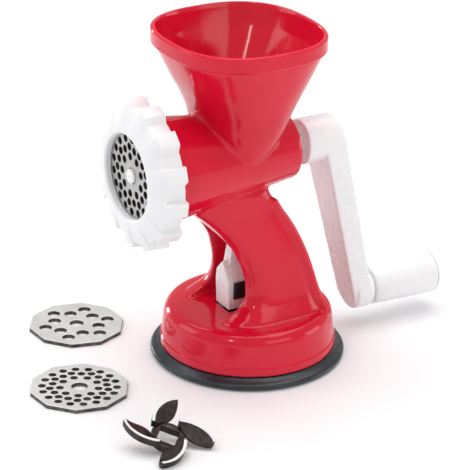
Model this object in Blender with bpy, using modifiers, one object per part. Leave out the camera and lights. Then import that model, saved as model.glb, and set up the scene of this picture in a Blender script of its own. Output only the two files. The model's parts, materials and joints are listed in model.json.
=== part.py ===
"""Hand-cranked meat grinder on a suction foot, as an assembly of separate parts.

Frame: origin on the table under the centre of the suction foot, +Z up.  The barrel lies along Y,
its food outlet faces -Y and the crank is at +Y.  All sizes below are in millimetres.
"""

import math

import bmesh
import bpy
from mathutils import Euler, Matrix, Vector

MM = 0.001
GAP = 0.3

# Barrel and what turns in it
BARREL_Z = 138.0
BARREL_FRONT = -85.0
BARREL_REAR = 25.0
BARREL_FRONT_R = 36.5
BARREL_REAR_R = 21.4
BORE_FRONT_R = 29.4
BORE_TAPER_Y = -62.0
BORE_REAR_R = 18.4
COLLAR_R = 38.4
COLLAR_BACK = -71.6
BEARING_R = 9.3
BEARING_WALL = 3.5

# Mincing plates: ten-sided steel discs
PLATE_FLATS = 60.0
PLATE_THICK = 2.6
PLATE_SIDES = 10
PLATE_FRONT = -85.4
FINE_CENTRE_R = 5.2
FINE_HOLE_R = 2.45
FINE_RINGS = ((9, 12.3, 12.3, 20.0), (18, 17.3, 18.6, 0.0), (18, 23.6, 23.6, 10.0))
COARSE_CENTRE_R = 4.7
COARSE_HOLE_R = 4.15
COARSE_RINGS = ((6, 15.0, 12.5), (6, 21.2, 42.7))
COARSE_OUTLINE_TURN = -9.0

# Ring nut
NUT_FRONT = -89.8
NUT_BACK = -72.0
NUT_SHOULDER = -85.6
NUT_LIP_R = 27.0
NUT_LIP_OUTER_R = 30.0
NUT_ROOT_R = 43.3
NUT_CREST_R = 47.8
NUT_LUGS = 13
NUT_FIRST_LUG = 107.7
NUT_INNER_R = COLLAR_R + 0.5
# One lug, from its steep side over its crest: angle and radius
NUT_LUG = (
    (0.0, NUT_ROOT_R - 2.0),
    (0.0, NUT_CREST_R),
    (-6.0, NUT_CREST_R),
    (-12.0, NUT_CREST_R),
    (-16.0, NUT_ROOT_R - 2.0),
)

# Cross-shaped knife
KNIFE_HOLE = 12.0
KNIFE_HUB_R = 10.4
KNIFE_DISH_R = 9.6
KNIFE_RIM_H = 4.8
KNIFE_BLADE_DROP = 0.4
KNIFE_BOSS_H = 4.4
# One blade: its bowed leading edge out to the tip, then its back, as radius and angle
KNIFE_BLADE = (
    (12.3, 33.0),
    (15.4, 15.0),
    (19.8, -3.0),
    (24.2, -19.0),
    (28.4, -34.8),
    (27.2, -39.5),
    (14.5, -46.0),
    (9.0, -46.0),
    (9.0, 42.0),
)

# Hopper
HOPPER_TOP = 220.8
HOPPER_CENTRE_Y = -10.8
HOPPER_HALF_X = 53.4
HOPPER_HALF_Y = 50.7
HOPPER_ROUND = 2.5
HOPPER_BAND = 9.5
HOPPER_WALL = 2.6

# Hopper walls: height, half width, front and rear edge
HOPPER = (
    (143.4, 28.0, -26.0, -2.0),
    (150.0, 31.0, -32.6, 7.6),
    (160.0, 34.5, -36.8, 14.0),
    (170.0, 37.4, -39.4, 18.0),
    (180.0, 40.6, -43.8, 22.8),
    (190.0, 44.3, -49.2, 28.0),
    (200.0, 47.8, -54.2, 33.0),
    (211.3, 51.8, -59.6, 38.2),
)

# Pedestal: height, half width, front and rear edge
PEDESTAL = (
    (118, 21, -56, 5),
    (110, 21.5, -50, 9),
    (104, 22, -42.5, 12.5),
    (98, 23, -36, 16.5),
    (90, 24.5, -28.5, 21),
    (80, 26.5, -21.5, 25.5),
    (70, 28.5, -17.5, 29),
    (60, 30, -15.2, 32),
    (50, 32, -15.2, 34.5),
    (44, 33.5, -18, 36.5),
    (40, 35, -23.5, 38.5),
    (36, 37, -31, 40.5),
    (30, 40, -37, 42),
)
LEG_WALL = 2.6
TUNNEL = ((28, 20.5), (50, 20), (66, 18), (80, 14.5), (89, 10), (95, 5), (97.5, 1))

# Foot
SKIRT_BOTTOM = 7.6
SKIRT_R = 56.7
SHOULDER_Z = 27.5
SHOULDER_R = 54.8
DECK_Z = 34.4
FOOT_WALL = 3.0
CUP_R = 63.0
SLOT = (10.0, -20.2, 9.0)

# Suction lever, its cross pin and the tongue it lifts
PIVOT_Y = -11.6
PIVOT_Z = 48.0
PIN_R = 2.6
LEVER_HALF = 8.0
LEVER_CORNER = (8.6, 56.0, 28.0)
TONGUE_HALF = 3.0
TAB_HALF = 3.8
# Side outlines of the lever, of its thumb tab and of the tongue, as y and z
LEVER_SIDE = (
    (-19.2, 34.9),
    (-8.2, 34.9),
    (-4.8, 38.2),
    (-4.6, 60.0),
    (-7.0, 68.6),
    (-19.6, 68.6),
    (-20.8, 66.0),
)
TAB_SIDE = ((-17.0, 64.0), (-11.6, 64.0), (-9.4, 83.0), (-11.0, 86.0), (-13.4, 84.4))
TONGUE_SIDE = (
    (4.2, 24.5),
    (4.2, 29.0),
    (2.4, 30.8),
    (-7.2, 30.8),
    (-7.2, 51.0),
    (-9.6, 53.0),
    (-13.6, 53.0),
    (-16.2, 51.0),
    (-16.2, 28.0),
    (-13.0, 24.5),
)

# Crank and handle
HUB_FRONT = 34.6
HUB_BACK = 58.0
HUB_R = 15.0
HANDLE_Z = 24.4
ARM_END_R = 11.4
ARM_INNER = (46.2, 75.0)
ARM_OUTER = (62.6, 89.8)
ARM_END_FACE = 91.0
ARM_BOSS_R = 13.2
ARM_BOSS_DEPTH = 12.5
GRIP_START = 93.1
GRIP_END = 146.0
GRIP_R = 13.1
GRIP_END_R = 14.4
AXLE_R = 4.0
AXLE_START = 81.0
AXLE_HEAD = (6.2, 136.3, 139.0)
CAP_BACK = 139.4
CAP_PLUG_R = 8.7
DRIVE_SQUARE = 11.2
ARM_CHANNEL = (3.2, 34.0, 22.0)

# Feed screw and the parts on its rear end
FLIGHT_FRONT = -71.0
FLIGHT_REAR = BARREL_REAR - BEARING_WALL - 4.0
FLIGHT_TURNS = 3.6
FLIGHT_STEPS = 15
FLIGHT_ROOT_R = 7.0
SHAFT_R = 9.5
FLANGE_R = 13.5
JOURNAL_R = BEARING_R - 0.05
PIN_END = -87.1
PIN_END_R = 4.7
KNIFE_DRIVE = (-81.8, 11.8)
TAIL_START = BARREL_REAR + 3.0
TAIL_END = 50.0
SCREW_HEAD = (7.6, 56.3, 60.0)
SCREW_SHANK = (2.4, 38.0)
WASHER_R = 12.6
WASHER_THICK = 1.2
HANDLE_WASHER_R = 10.4

# Spare parts laid out on the table: x, y and turn about Z in degrees
SPARE_FINE = (0.4, -122.8, 149.0)
SPARE_COARSE = (-80.4, -83.6, 156.0)
SPARE_KNIFE = (91.0, -109.7)
# The knife lies tipped on three blade tips: its rotation vector in degrees
SPARE_KNIFE_TURN = (-17.3, 14.0, -88.8)

RED = (0.70, 0.012, 0.035)
WHITE = (0.83, 0.83, 0.84)
BLACK = (0.014, 0.017, 0.022)
STEEL = (0.60, 0.59, 0.57)
DARK_STEEL = (0.09, 0.075, 0.075)


# Scene and object helpers


def clear_scene():
    for old in list(bpy.data.objects):
        bpy.data.objects.remove(old, do_unlink=True)


def new_collection(name, hidden=False):
    made = bpy.data.collections.new(name)
    bpy.context.scene.collection.children.link(made)
    made.hide_render = hidden
    return made


def make_material(name, colour, roughness, metallic=0.0):
    made = bpy.data.materials.new(name)
    made.use_nodes = True
    shader = made.node_tree.nodes["Principled BSDF"]
    shader.inputs["Base Color"].default_value = (*colour, 1.0)
    shader.inputs["Roughness"].default_value = roughness
    shader.inputs["Metallic"].default_value = metallic
    made.diffuse_color = (*colour, 1.0)
    return made


clear_scene()
PARTS = new_collection("meat_grinder")
CUTTERS = new_collection("cutters", hidden=True)
MATERIALS = {
    "red": make_material("red_plastic", RED, 0.18),
    "white": make_material("white_plastic", WHITE, 0.32),
    "rubber": make_material("black_rubber", BLACK, 0.35),
    "steel": make_material("plate_steel", STEEL, 0.35, 1.0),
    "cast": make_material("knife_steel", DARK_STEEL, 0.45, 1.0),
    "black": make_material("black_plastic", BLACK, 0.4),
}


def add_mesh(name, mesh, material=None):
    """Links a mesh as a part, or as a hidden cutter when it has no material."""
    made = bpy.data.objects.new(name, mesh)
    if material is None:
        made.hide_render = True
        made.display_type = "WIRE"
        CUTTERS.objects.link(made)
    else:
        mesh.materials.append(MATERIALS[material])
        PARTS.objects.link(made)
    return made


def mesh_from(bm, name):
    mesh = bpy.data.meshes.new(name)
    bm.to_mesh(mesh)
    bm.free()
    return mesh


def smooth(mesh, degrees=35.0):
    mesh.shade_smooth()
    mesh.set_sharp_from_angle(angle=math.radians(degrees))


def place(made, location=(0.0, 0.0, 0.0), turn=(0.0, 0.0, 0.0)):
    made.location = Vector(location) * MM
    made.rotation_euler = Euler([math.radians(a) for a in turn])
    return made


def along_y(made, y=0.0, z=BARREL_Z):
    """Turns an object made along +Z so that it lies along +Y, on the barrel's axis unless told."""
    return place(made, (0.0, y, z), (-90.0, 0.0, 0.0))


def lathe(name, profile, material=None, steps=48):
    """A turned solid about Z from (radius, height) pairs that run down its outer side."""
    bm = bmesh.new()
    verts = [bm.verts.new((r * MM, 0.0, h * MM)) for r, h in profile]
    for first, second in zip(verts, verts[1:]):
        bm.edges.new((first, second))
    if profile[0][0] > 0.0 or profile[-1][0] > 0.0:
        bm.edges.new((verts[-1], verts[0]))
    made = add_mesh(name, mesh_from(bm, name), material)
    screw = made.modifiers.new("Turn", "SCREW")
    screw.axis = "Z"
    screw.steps = steps
    screw.render_steps = steps
    screw.use_merge_vertices = True
    screw.merge_threshold = 0.00001
    screw.use_smooth_shade = True
    return made


def evaluated_mesh(source, name):
    """The object's mesh with its modifiers applied and its place in its vertices."""
    bpy.context.view_layer.update()
    graph = bpy.context.evaluated_depsgraph_get()
    mesh = bpy.data.meshes.new_from_object(source.evaluated_get(graph))
    mesh.transform(source.matrix_world)
    mesh.name = name
    return mesh


def apply_all(made, material):
    """Replaces an object by its evaluated, welded mesh and returns the new object."""
    name = made.name
    mesh = evaluated_mesh(made, name)
    bpy.data.objects.remove(made, do_unlink=True)
    mesh.materials.clear()
    bm = bmesh.new()
    bm.from_mesh(mesh)
    bmesh.ops.remove_doubles(bm, verts=bm.verts, dist=0.000002)
    bm.to_mesh(mesh)
    bm.free()
    made = add_mesh(name, mesh, material)
    made.name = name
    smooth(mesh)
    return made


def boolean(made, other, operation):
    cut = made.modifiers.new(operation.title(), "BOOLEAN")
    cut.operation = operation
    cut.object = other
    cut.solver = "EXACT"


def block(name, low, high, material=None):
    """A box between two corners."""
    bm = bmesh.new()
    bmesh.ops.create_cube(bm, size=1.0)
    size = Vector(high) - Vector(low)
    middle = (Vector(high) + Vector(low)) / 2.0
    bmesh.ops.scale(bm, vec=size * MM, verts=bm.verts)
    bmesh.ops.translate(bm, vec=middle * MM, verts=bm.verts)
    return add_mesh(name, mesh_from(bm, name), material)


def rod(name, radius, start, length, material=None, segments=24, radius_end=None):
    """A cylinder about Z between two heights."""
    bm = bmesh.new()
    bmesh.ops.create_cone(
        bm,
        cap_ends=True,
        segments=segments,
        radius1=radius * MM,
        radius2=(radius if radius_end is None else radius_end) * MM,
        depth=length * MM,
    )
    bmesh.ops.translate(bm, vec=(0.0, 0.0, (start + length / 2.0) * MM), verts=bm.verts)
    return add_mesh(name, mesh_from(bm, name), material)


def flat_shape(name, loops, thickness, material=None):
    """A plate of the given thickness, bottom at z = 0, from closed loops of (x, y) points."""
    curve = bpy.data.curves.new(name, "CURVE")
    curve.dimensions = "2D"
    curve.fill_mode = "BOTH"
    curve.extrude = thickness * MM / 2.0
    for loop in loops:
        spline = curve.splines.new("POLY")
        spline.points.add(len(loop) - 1)
        for point, (x, y) in zip(spline.points, loop):
            point.co = (x * MM, y * MM, 0.0, 1.0)
        spline.use_cyclic_u = True
    holder = bpy.data.objects.new(name, curve)
    PARTS.objects.link(holder)
    holder.location.z = thickness * MM / 2.0
    mesh = evaluated_mesh(holder, name)
    bpy.data.objects.remove(holder, do_unlink=True)
    mesh.materials.clear()
    bm = bmesh.new()
    bm.from_mesh(mesh)
    bmesh.ops.remove_doubles(bm, verts=bm.verts, dist=0.000005)
    bmesh.ops.recalc_face_normals(bm, faces=bm.faces)
    bm.to_mesh(mesh)
    bm.free()
    return add_mesh(name, mesh, material)


def side_shape(name, outline, half_width, material=None):
    """A plate standing in the YZ plane, from one outline of (y, z) points."""
    made = flat_shape(name, [outline], 2.0 * half_width, material)
    stand = Matrix(((0, 0, 1, 0), (1, 0, 0, 0), (0, 1, 0, 0), (0, 0, 0, 1)))
    made.data.transform(Matrix.Translation((-half_width * MM, 0.0, 0.0)) @ stand)
    return made


def loft(name, sections, material=None):
    """A closed solid through rings of equally many points, listed from low to high."""
    bm = bmesh.new()
    rings = [[bm.verts.new(Vector(point) * MM) for point in ring] for ring in sections]
    count = len(rings[0])
    for lower, upper in zip(rings, rings[1:]):
        for i in range(count):
            j = (i + 1) % count
            bm.faces.new((lower[i], lower[j], upper[j], upper[i]))
    bm.faces.new(rings[0][::-1])
    bm.faces.new(rings[-1])
    bmesh.ops.recalc_face_normals(bm, faces=bm.faces)
    return add_mesh(name, mesh_from(bm, name), material)


def circle(count, radius, start=0.0, centre=(0.0, 0.0)):
    angles = [math.radians(start) + 2.0 * math.pi * i / count for i in range(count)]
    return [(centre[0] + radius * math.cos(a), centre[1] + radius * math.sin(a)) for a in angles]


def super_ring(half_x, front, rear, z, power, count=36):
    """A rounded-rectangle ring at height z, between y = front and y = rear."""
    middle, half_y = (front + rear) / 2.0, (rear - front) / 2.0
    ring = []
    for i in range(count):
        a = 2.0 * math.pi * (i + 0.5) / count
        c, s = math.cos(a), math.sin(a)
        x = half_x * math.copysign(abs(c) ** (2.0 / power), c)
        y = half_y * math.copysign(abs(s) ** (2.0 / power), s)
        ring.append((x, middle + y, z))
    return ring


def barrel_radius(y):
    """Outside radius of the tapered barrel."""
    share = (y - BARREL_FRONT) / (BARREL_REAR - BARREL_FRONT)
    return BARREL_FRONT_R + (BARREL_REAR_R - BARREL_FRONT_R) * share


def bore_radius(y):
    """Inside radius: straight at the outlet, then tapering to the rear wall."""
    share = (y - BORE_TAPER_Y) / (BARREL_REAR - BEARING_WALL - BORE_TAPER_Y)
    return BORE_FRONT_R + (BORE_REAR_R - BORE_FRONT_R) * max(0.0, share)


# The red moulding


def hopper_rings(inset, lowest=0.0):
    """The hopper's sections from its V-shaped foot on the barrel to the underside of its band."""
    return [
        super_ring(half_x - inset, front + inset, rear - inset, z, HOPPER_ROUND)
        for z, half_x, front, rear in HOPPER
        if z >= lowest
    ]


def hopper_band(inset, z):
    front = HOPPER_CENTRE_Y - HOPPER_HALF_Y + inset
    rear = HOPPER_CENTRE_Y + HOPPER_HALF_Y - inset
    return super_ring(HOPPER_HALF_X - inset, front, rear, z, HOPPER_ROUND)


def make_hopper():
    band = [hopper_band(0.0, HOPPER_TOP - HOPPER_BAND + 0.6), hopper_band(0.0, HOPPER_TOP)]
    return loft("hopper_outside", hopper_rings(0.0) + band)


def make_hopper_inside():
    top = [hopper_band(HOPPER_WALL + 0.9, HOPPER_TOP + 1.0)]
    return loft("hopper_inside", hopper_rings(HOPPER_WALL, 150.0) + top)


def pedestal_rings(grow, lowest=-1e9, highest=1e9):
    rings = []
    for z, half_x, front, rear in sorted(PEDESTAL):
        if lowest <= z <= highest:
            rings.append(super_ring(half_x + grow, front - grow, rear + grow, z, 4.0, 28))
    return rings


def make_tunnel(grow, name, bottom=None):
    """The arched passage between the legs, running right through along Y."""
    left = [(-(half + grow), z + grow * 0.7) for z, half in TUNNEL]
    right = [(-x, z) for x, z in reversed(left)]
    if bottom is not None:
        left[0] = (left[0][0], bottom)
        right[-1] = (right[-1][0], bottom)
    arch = left + right
    return loft(name, [[(x, y, z) for x, z in arch] for y in (-75.0, 75.0)])


def make_base_outside():
    return lathe(
        "foot_outside",
        [
            (0.0, DECK_Z),
            (46.0, DECK_Z),
            (50.5, DECK_Z - 1.0),
            (53.4, DECK_Z - 3.4),
            (SHOULDER_R, SHOULDER_Z),
            (SKIRT_R - 0.6, SKIRT_BOTTOM + 6.0),
            (SKIRT_R, SKIRT_BOTTOM),
            (0.0, SKIRT_BOTTOM),
        ],
        steps=48,
    )


def make_base_inside():
    return lathe(
        "foot_inside",
        [
            (0.0, DECK_Z - FOOT_WALL),
            (45.0, DECK_Z - FOOT_WALL),
            (SHOULDER_R - FOOT_WALL - 1.0, SHOULDER_Z - 1.0),
            (SKIRT_R - FOOT_WALL, SKIRT_BOTTOM - 1.0),
            (0.0, SKIRT_BOTTOM - 1.0),
        ],
        steps=48,
    )


def make_housing():
    body = lathe(
        "housing",
        [
            (0.0, BARREL_REAR),
            (BARREL_REAR_R - 1.6, BARREL_REAR),
            (BARREL_REAR_R, BARREL_REAR - 1.6),
            (barrel_radius(-40.0), -40.0),
            (barrel_radius(COLLAR_BACK), COLLAR_BACK),
            (COLLAR_R, COLLAR_BACK - 0.4),
            (COLLAR_R, BARREL_FRONT + 0.8),
            (COLLAR_R - 0.8, BARREL_FRONT),
            (0.0, BARREL_FRONT),
        ],
        "red",
        steps=44,
    )
    along_y(body)
    boolean(body, make_hopper(), "UNION")
    boolean(body, loft("pedestal_outside", pedestal_rings(0.0)), "UNION")
    boolean(body, make_base_outside(), "UNION")

    bore = lathe(
        "bore",
        [
            (0.0, BARREL_REAR - BEARING_WALL),
            (BORE_REAR_R, BARREL_REAR - BEARING_WALL),
            (BORE_FRONT_R, BORE_TAPER_Y),
            (BORE_FRONT_R, BARREL_FRONT - 1.0),
            (0.0, BARREL_FRONT - 1.0),
        ],
        steps=36,
    )
    corner = (PLATE_FLATS / 2.0 + GAP) / math.cos(math.pi / PLATE_SIDES)
    seat = rod("plate_seat", corner, 0.0, 8.0, segments=PLATE_SIDES)
    seat.data.transform(Matrix.Rotation(math.pi / 2.0, 4, "Z"))
    cuts = [
        along_y(bore),
        along_y(seat, PLATE_FRONT + PLATE_THICK + GAP - 8.0),
        along_y(rod("bearing_hole", BEARING_R, 0.0, 12.0, segments=32), BARREL_REAR - 8.0),
        make_hopper_inside(),
        make_tunnel(0.0, "tunnel", DECK_Z),
        make_base_inside(),
        block("lever_slot", (-SLOT[0], SLOT[1], 20.0), (SLOT[0], SLOT[2], DECK_Z + 2.0)),
    ]
    core = loft("leg_core", pedestal_rings(-LEG_WALL, 20.0, 80.0))
    boolean(core, make_tunnel(LEG_WALL, "tunnel_wall", 10.0), "DIFFERENCE")
    for cutter in cuts + [core]:
        boolean(body, cutter, "DIFFERENCE")
    return apply_all(body, "red")


# The foot


def make_suction_cup():
    cup = lathe(
        "suction_cup",
        [
            (0.0, 20.0),
            (15.0, 20.0),
            (16.0, 19.0),
            (16.0, 8.4),
            (30.0, 7.0),
            (57.5, 7.0),
            (60.8, 5.4),
            (CUP_R, 3.2),
            (62.2, 1.2),
            (59.5, 0.0),
            (54.5, 0.0),
            (50.0, 2.2),
            (20.0, 2.2),
            (16.5, 0.0),
            (0.0, 0.0),
        ],
        "rubber",
        steps=48,
    )
    boolean(cup, rod("stem_pocket", 13.0, 7.6, 9.8, segments=28), "DIFFERENCE")
    boolean(cup, rod("stem_passage", 5.6, 15.0, 8.0, segments=20), "DIFFERENCE")
    return apply_all(cup, "rubber")


def make_stem():
    """The foot disc held in the rubber and the flat tongue that the lever's pin lifts."""
    stem = rod("cup_stem", 12.2, 12.8, 4.3, "black", segments=28)
    boolean(stem, rod("stem_neck", 4.6, 14.0, 12.0, segments=20), "UNION")
    boolean(stem, side_shape("stem_tongue", TONGUE_SIDE, TONGUE_HALF), "UNION")
    hole = rod("stem_hole", PIN_R + GAP, -12.0, 24.0, segments=20)
    boolean(stem, place(hole, (0.0, PIVOT_Y, PIVOT_Z), (0.0, 90.0, 0.0)), "DIFFERENCE")
    return apply_all(stem, "black")


def make_lever():
    """A forked cam lever standing upright, closed in front and open below and behind."""
    lever = side_shape("suction_lever", LEVER_SIDE, LEVER_HALF, "white")
    corner_x, corner_z, lean = LEVER_CORNER
    for sign in (-1.0, 1.0):
        low, high = sorted((0.0, sign * 14.0))
        corner = block("lever_corner", (low, -30.0, 0.0), (high, 6.0, 30.0))
        place(corner, (sign * corner_x, 0.0, corner_z), (0.0, -sign * lean, 0.0))
        boolean(lever, corner, "DIFFERENCE")
    boolean(lever, side_shape("lever_tab", TAB_SIDE, TAB_HALF), "UNION")
    fork = TONGUE_HALF + 2.0 * GAP
    boolean(lever, block("lever_fork", (-fork, -17.8, 30.0), (fork, 0.0, 55.0)), "DIFFERENCE")
    hole = rod("lever_hole", PIN_R + GAP, -14.0, 28.0, segments=20)
    boolean(lever, place(hole, (0.0, PIVOT_Y, PIVOT_Z), (0.0, 90.0, 0.0)), "DIFFERENCE")
    return apply_all(lever, "white")


def make_lever_pin():
    pin = rod("lever_pin", PIN_R, -LEVER_HALF - 4.0, 2.0 * LEVER_HALF + 4.5, "black", 20)
    head = block("pin_head", (-4.6, -4.6, LEVER_HALF + GAP), (4.6, 4.6, LEVER_HALF + 2.0))
    boolean(pin, head, "UNION")
    head.parent = pin
    place(pin, (0.0, PIVOT_Y, PIVOT_Z), (0.0, 90.0, 0.0))
    return apply_all(pin, "black")


def make_pin_clip():
    """The push-on washer that keeps the pin in from the far side."""
    low, high = -LEVER_HALF - 1.9, -LEVER_HALF - GAP
    outer, inner = PIN_R + 2.6, PIN_R + GAP * 0.5
    clip = lathe(
        "lever_pin_clip",
        [(inner, high), (outer, high), (outer, low), (inner, low)],
        "steel",
        steps=24,
    )
    place(clip, (0.0, PIVOT_Y, PIVOT_Z), (0.0, 90.0, 0.0))
    return apply_all(clip, "steel")


# The outlet: nut, plates and knife


def make_nut():
    """Ring nut: inward lip, threaded skirt and a ring of one-way grip lugs."""
    profile = [
        (NUT_ROOT_R - 0.6, NUT_BACK),
        (NUT_ROOT_R, NUT_BACK - 0.6),
        (NUT_ROOT_R, NUT_SHOULDER + 1.0),
        (NUT_LIP_OUTER_R, NUT_FRONT),
        (NUT_LIP_R, NUT_FRONT),
        (NUT_LIP_R, PLATE_FRONT - GAP),
        (NUT_INNER_R, PLATE_FRONT - GAP),
        (NUT_INNER_R, NUT_BACK),
    ]
    nut = along_y(lathe("ring_nut", profile, "white", steps=NUT_LUGS * 5))
    pitch = 360.0 / NUT_LUGS
    for k in range(NUT_LUGS):
        outline = []
        for angle, radius in NUT_LUG:
            a = math.radians(NUT_FIRST_LUG - pitch * k + angle)
            outline.append((radius * math.cos(a), BARREL_Z + radius * math.sin(a)))
        lug = [[(x, y, z) for x, z in outline] for y in (NUT_SHOULDER, NUT_BACK)]
        boolean(nut, loft("nut_lug_%02d" % k, lug), "UNION")
    return apply_all(nut, "white")


def fine_plate_loops():
    corner = PLATE_FLATS / 2.0 / math.cos(math.pi / PLATE_SIDES)
    loops = [circle(PLATE_SIDES, corner), circle(16, FINE_CENTRE_R)]
    for count, even_radius, odd_radius, start in FINE_RINGS:
        for i in range(count):
            a = math.radians(start) + 2.0 * math.pi * i / count
            radius = odd_radius if i % 2 else even_radius
            loops.append(circle(7, FINE_HOLE_R, 0.0, (radius * math.cos(a), radius * math.sin(a))))
    return loops


def coarse_plate_loops():
    corner = PLATE_FLATS / 2.0 / math.cos(math.pi / PLATE_SIDES)
    outline = circle(PLATE_SIDES, corner, COARSE_OUTLINE_TURN)
    loops = [outline, circle(16, COARSE_CENTRE_R)]
    for count, radius, start in COARSE_RINGS:
        for x, y in circle(count, radius, start):
            loops.append(circle(12, COARSE_HOLE_R, 0.0, (x, y)))
    return loops


def make_plates():
    fitted = flat_shape("fine_plate", fine_plate_loops(), PLATE_THICK, "steel")
    along_y(fitted, PLATE_FRONT)
    spare = flat_shape("spare_fine_plate", fine_plate_loops(), PLATE_THICK, "steel")
    place(spare, (SPARE_FINE[0], SPARE_FINE[1], 0.0), (0.0, 0.0, SPARE_FINE[2]))
    coarse = flat_shape("spare_coarse_plate", coarse_plate_loops(), PLATE_THICK, "steel")
    place(coarse, (SPARE_COARSE[0], SPARE_COARSE[1], 0.0), (0.0, 0.0, SPARE_COARSE[2]))


def knife_blade_outline(turn):
    """One sickle blade: a bowed leading edge, a square-cut tip and a straight back."""
    outline = []
    for radius, angle in KNIFE_BLADE:
        a = math.radians(angle + turn)
        outline.append((radius * math.cos(a), radius * math.sin(a)))
    return outline


def make_knife(name):
    """Four-bladed knife with its cutting plane at the top and its square hub below."""
    knife = rod(name, KNIFE_HUB_R, -KNIFE_BOSS_H, KNIFE_BOSS_H, "cast", segments=32)
    height = KNIFE_RIM_H + KNIFE_BLADE_DROP
    for k in range(4):
        blade = flat_shape(name + "_blade_%d" % k, [knife_blade_outline(90.0 * k)], height)
        blade.data.transform(Matrix.Translation((0.0, 0.0, -KNIFE_BLADE_DROP * MM)))
        boolean(knife, blade, "UNION")
    boolean(knife, rod(name + "_dish", KNIFE_DISH_R, 0.0, 12.0, segments=32), "DIFFERENCE")
    square = rod(name + "_square", KNIFE_HOLE / math.sqrt(2.0), -20.0, 40.0, segments=4)
    boolean(knife, square, "DIFFERENCE")
    return apply_all(knife, "cast")


def make_knives():
    fitted = make_knife("knife")
    turn = Matrix.Rotation(math.radians(90.0), 4, "X")
    depth = PLATE_FRONT + PLATE_THICK + GAP + KNIFE_RIM_H
    fitted.data.transform(Matrix.Translation((0.0, depth * MM, BARREL_Z * MM)) @ turn)
    spare = make_knife("spare_knife")
    pose = Vector([math.radians(a) for a in SPARE_KNIFE_TURN])
    turn = Matrix.Rotation(pose.length, 4, pose.normalized())
    spare.data.transform(turn)
    lowest = min(vertex.co.z for vertex in spare.data.vertices)
    spare.data.transform(Matrix.Translation((SPARE_KNIFE[0] * MM, SPARE_KNIFE[1] * MM, -lowest)))


# Auger, crank and handle


def make_auger():
    """Feed screw: pin and square drive in front, tapered flight, journal and square drive behind."""
    flange = BARREL_REAR - BEARING_WALL - 2.0
    profile = [
        (0.0, TAIL_END),
        (BEARING_R - 1.6, TAIL_END),
        (BEARING_R - 1.6, TAIL_START),
        (JOURNAL_R, TAIL_START),
        (JOURNAL_R, flange),
        (FLANGE_R, flange),
        (FLANGE_R, FLIGHT_REAR),
        (SHAFT_R, FLIGHT_REAR - 3.0),
        (SHAFT_R, FLIGHT_FRONT - 1.0),
        (PIN_END_R, FLIGHT_FRONT - 1.0),
        (PIN_END_R, PIN_END + 0.7),
        (PIN_END_R - 0.7, PIN_END),
        (0.0, PIN_END),
    ]
    auger = along_y(lathe("auger", profile, "white", steps=32))
    corner = (KNIFE_HOLE / 2.0 - 0.25) * math.sqrt(2.0)
    drive_y, drive_length = KNIFE_DRIVE
    drive = rod("knife_drive", corner, 0.0, drive_length, segments=4)
    boolean(auger, along_y(drive, drive_y), "UNION")
    boolean(auger, make_flight(), "UNION")
    for k in range(4):
        cheek = block("drive_cheek", (DRIVE_SQUARE / 2.0, TAIL_START, -20.0), (20.0, TAIL_END + 1.0, 20.0))
        place(cheek, (0.0, 0.0, BARREL_Z), (0.0, 90.0 * k, 0.0))
        boolean(auger, cheek, "DIFFERENCE")
    screw_bore = rod("screw_bore", SCREW_SHANK[0] + 0.2, 36.0, 20.0, segments=16)
    boolean(auger, along_y(screw_bore), "DIFFERENCE")
    return apply_all(auger, "white")


def make_flight():
    """The helical flight as one lofted ribbon that follows the tapered bore."""
    count = int(FLIGHT_STEPS * FLIGHT_TURNS)
    root, tip = 2.6, 1.3
    rings = []
    for i in range(count + 1):
        # the pitch grows slightly towards the rear
        y = FLIGHT_FRONT + 2.2 + (FLIGHT_REAR - FLIGHT_FRONT - 4.4) * (i / count) ** 1.15
        a = 2.0 * math.pi * i / FLIGHT_STEPS
        outer = bore_radius(y) - 1.1
        ring = []
        for radius, offset in ((FLIGHT_ROOT_R, -root), (outer, -tip), (outer, tip), (FLIGHT_ROOT_R, root)):
            ring.append((radius * math.cos(a), y + offset, BARREL_Z + radius * math.sin(a)))
        rings.append(ring)
    return loft("flight", rings)


def make_washer():
    """Thrust washer between the barrel's rear wall and the crank's nose."""
    low = BARREL_REAR + GAP
    high = low + WASHER_THICK
    inner = BEARING_R + 0.2
    profile = [(inner, high), (WASHER_R, high), (WASHER_R, low), (inner, low)]
    washer = lathe("thrust_washer", profile, "steel", steps=40)
    return apply_all(along_y(washer), "steel")


def arm_shape(name, inset, inner_shift, outer_shift, top, bottom, material=None):
    """The tapered crank arm between its leaning inner and outer faces."""
    span = BARREL_Z - HANDLE_Z
    lean = math.asin((HUB_R - ARM_END_R) / span)
    outline = []
    for z, radius, low, high in (
        (top, HUB_R - inset, -lean, math.pi + lean),
        (bottom, ARM_END_R - inset, math.pi + lean, 2.0 * math.pi - lean),
    ):
        for i in range(13):
            a = low + (high - low) * i / 12.0
            outline.append((radius * math.cos(a), z + radius * math.sin(a)))
    faces = []
    for (at_top, at_bottom), shift in ((ARM_INNER, inner_shift), (ARM_OUTER, outer_shift)):
        ring = []
        for x, z in outline:
            share = (BARREL_Z - z) / span
            ring.append((x, at_top + (at_bottom - at_top) * share + shift, z))
        faces.append(ring)
    return loft(name, faces, material)


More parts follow.
